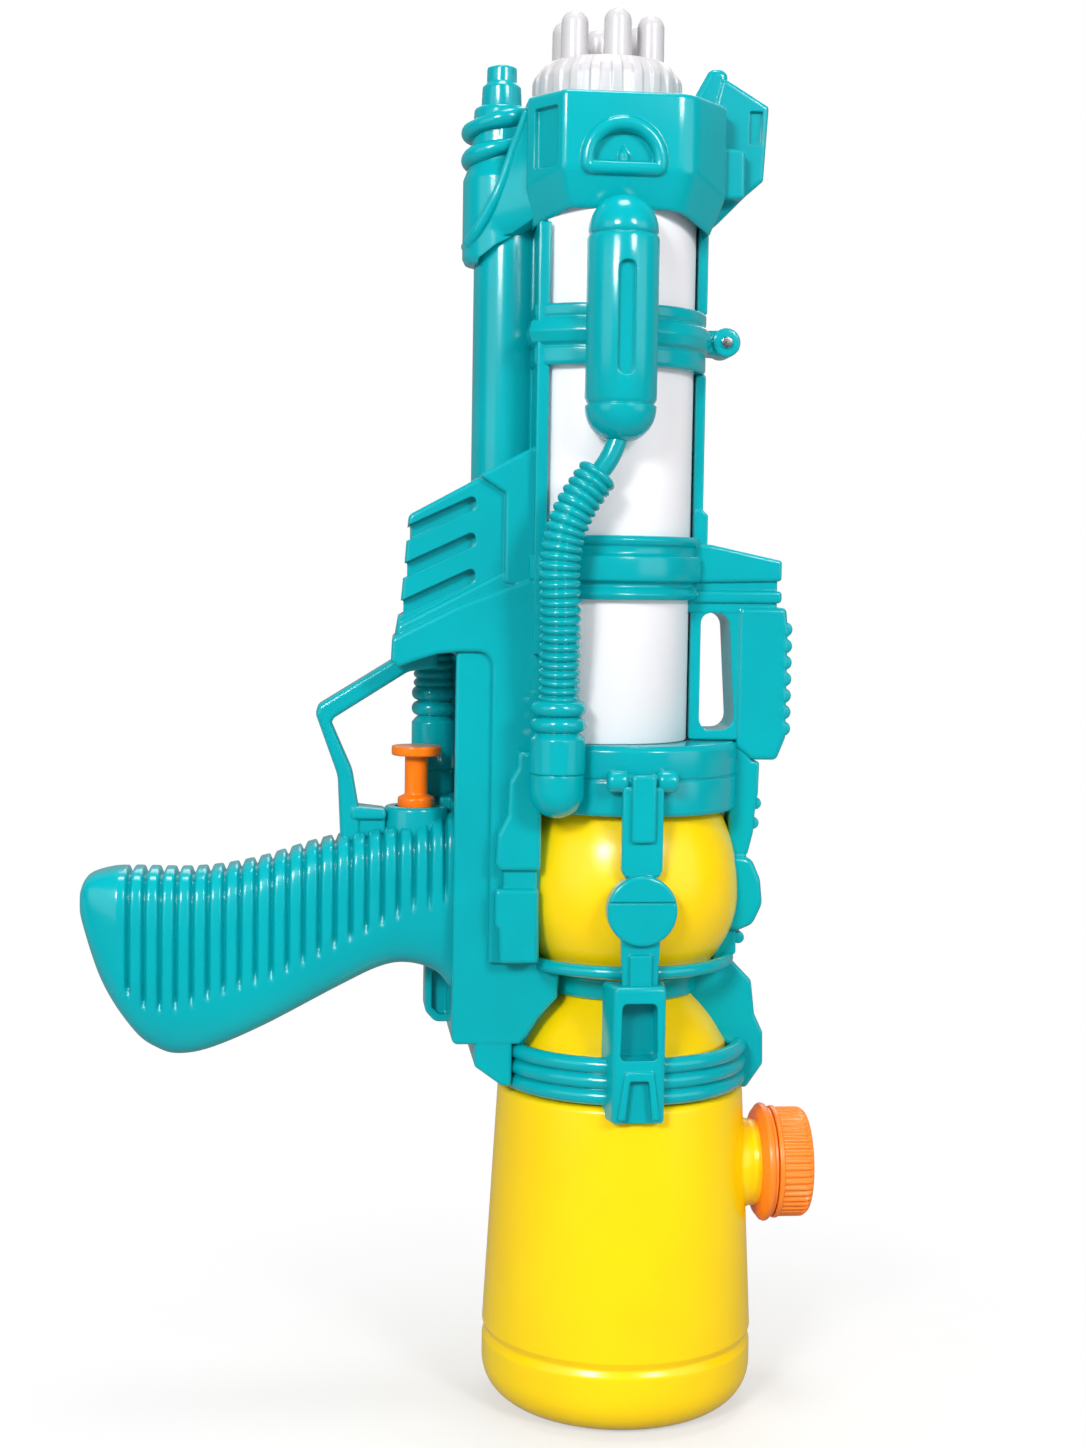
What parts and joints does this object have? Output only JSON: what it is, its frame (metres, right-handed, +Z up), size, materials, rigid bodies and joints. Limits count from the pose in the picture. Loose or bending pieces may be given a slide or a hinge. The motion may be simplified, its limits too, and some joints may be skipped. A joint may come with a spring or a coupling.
{
  "type": "toy water squirter",
  "caption": "Hand-held toy water squirter standing on its bottle tank, with a ridged grip, push trigger, ribbed side hose, carry handle and knurled muzzle ring with pegs.",
  "frame": {"origin": "centre of the tank's flat base", "axes": "+Z up the barrel to the muzzle, +X from the grip to the filler cap, +Y from the near moulded half to the far one"},
  "size_m": [0.2141, 0.083, 0.4045],
  "materials": {
    "teal_plastic": "glossy moulded",
    "teal_hose": "glossy flexible",
    "yellow_plastic": "glossy blow-moulded",
    "white_plastic": "satin moulded",
    "orange_plastic": "satin moulded",
    "trigger_orange": "glossy moulded",
    "clear_tube": "milky extruded",
    "black_rubber": "matte",
    "steel": "bright"
  },
  "bodies": {
    "body": {"casing_front": "teal_plastic", "casing_back": "teal_plastic", "muzzle_front": "teal_plastic", "muzzle_back": "teal_plastic", "nozzle_tip": "teal_plastic", "clamp_front": "teal_plastic", "clamp_back": "teal_plastic", "handle_front": "teal_plastic", "handle_back": "teal_plastic", "cradle_front": "teal_plastic", "cradle_back": "teal_plastic", "tank_strap": "teal_plastic", "strap_buckle": "teal_plastic", "side_capsule": "teal_plastic", "corrugated_hose": "teal_hose", "hose_cup": "teal_plastic", "back_hose": "teal_hose", "back_hose_cup": "teal_plastic", "pump_cylinder": "teal_plastic", "tank": "yellow_plastic", "tank_upper": "yellow_plastic", "filler_spout": "yellow_plastic", "tank_bung": "white_plastic", "barrel_sleeve": "white_plastic", "valve_block": "white_plastic", "neck_ring": "orange_plastic", "suction_tube": "clear_tube", "delivery_tube": "clear_tube", "pump_riser": "clear_tube", "bung_gasket": "black_rubber", "case_screws": "steel", "clamp_pin": "steel", "pump_spring": "steel", "inlet_ball": "steel", "outlet_ball": "steel"},
    "trigger_plunger": {"trigger": "trigger_orange", "piston": "white_plastic", "piston_ring": "black_rubber"},
    "muzzle_ring": {"muzzle_cluster": "white_plastic", "cluster_clip": "white_plastic"},
    "cap_seal": {"cap_liner": "white_plastic"},
    "cap": {"filler_cap": "orange_plastic"}
  },
  "joints": [
    {"name": "trigger_slide", "type": "slide", "parent": "body", "child": "trigger_plunger", "axis": [0, 0, -1], "range_m": [0, 0.011], "stiffness_N_per_m": 250, "springref_m": -0.004, "deforming": ["pump_spring"]},
    {"name": "muzzle_spin", "type": "hinge", "parent": "body", "child": "muzzle_ring", "pos_m": [-0.009, 0, 0.3778], "axis": [0, 0, 1], "continuous": true},
    {"name": "cap_lift", "type": "slide", "parent": "body", "child": "cap_seal", "axis": [1, 0, 0], "range_m": [0, 0.0045]},
    {"name": "cap_turn", "type": "hinge", "parent": "cap_seal", "child": "cap", "pos_m": [0.0502, 0, 0.0695], "axis": [1, 0, 0], "range_deg": [0, 540]}
  ],
  "couplings": [
    {"joint": "cap_lift", "follows": "cap_turn", "m_per_rad": 0.00047746}
  ]
}
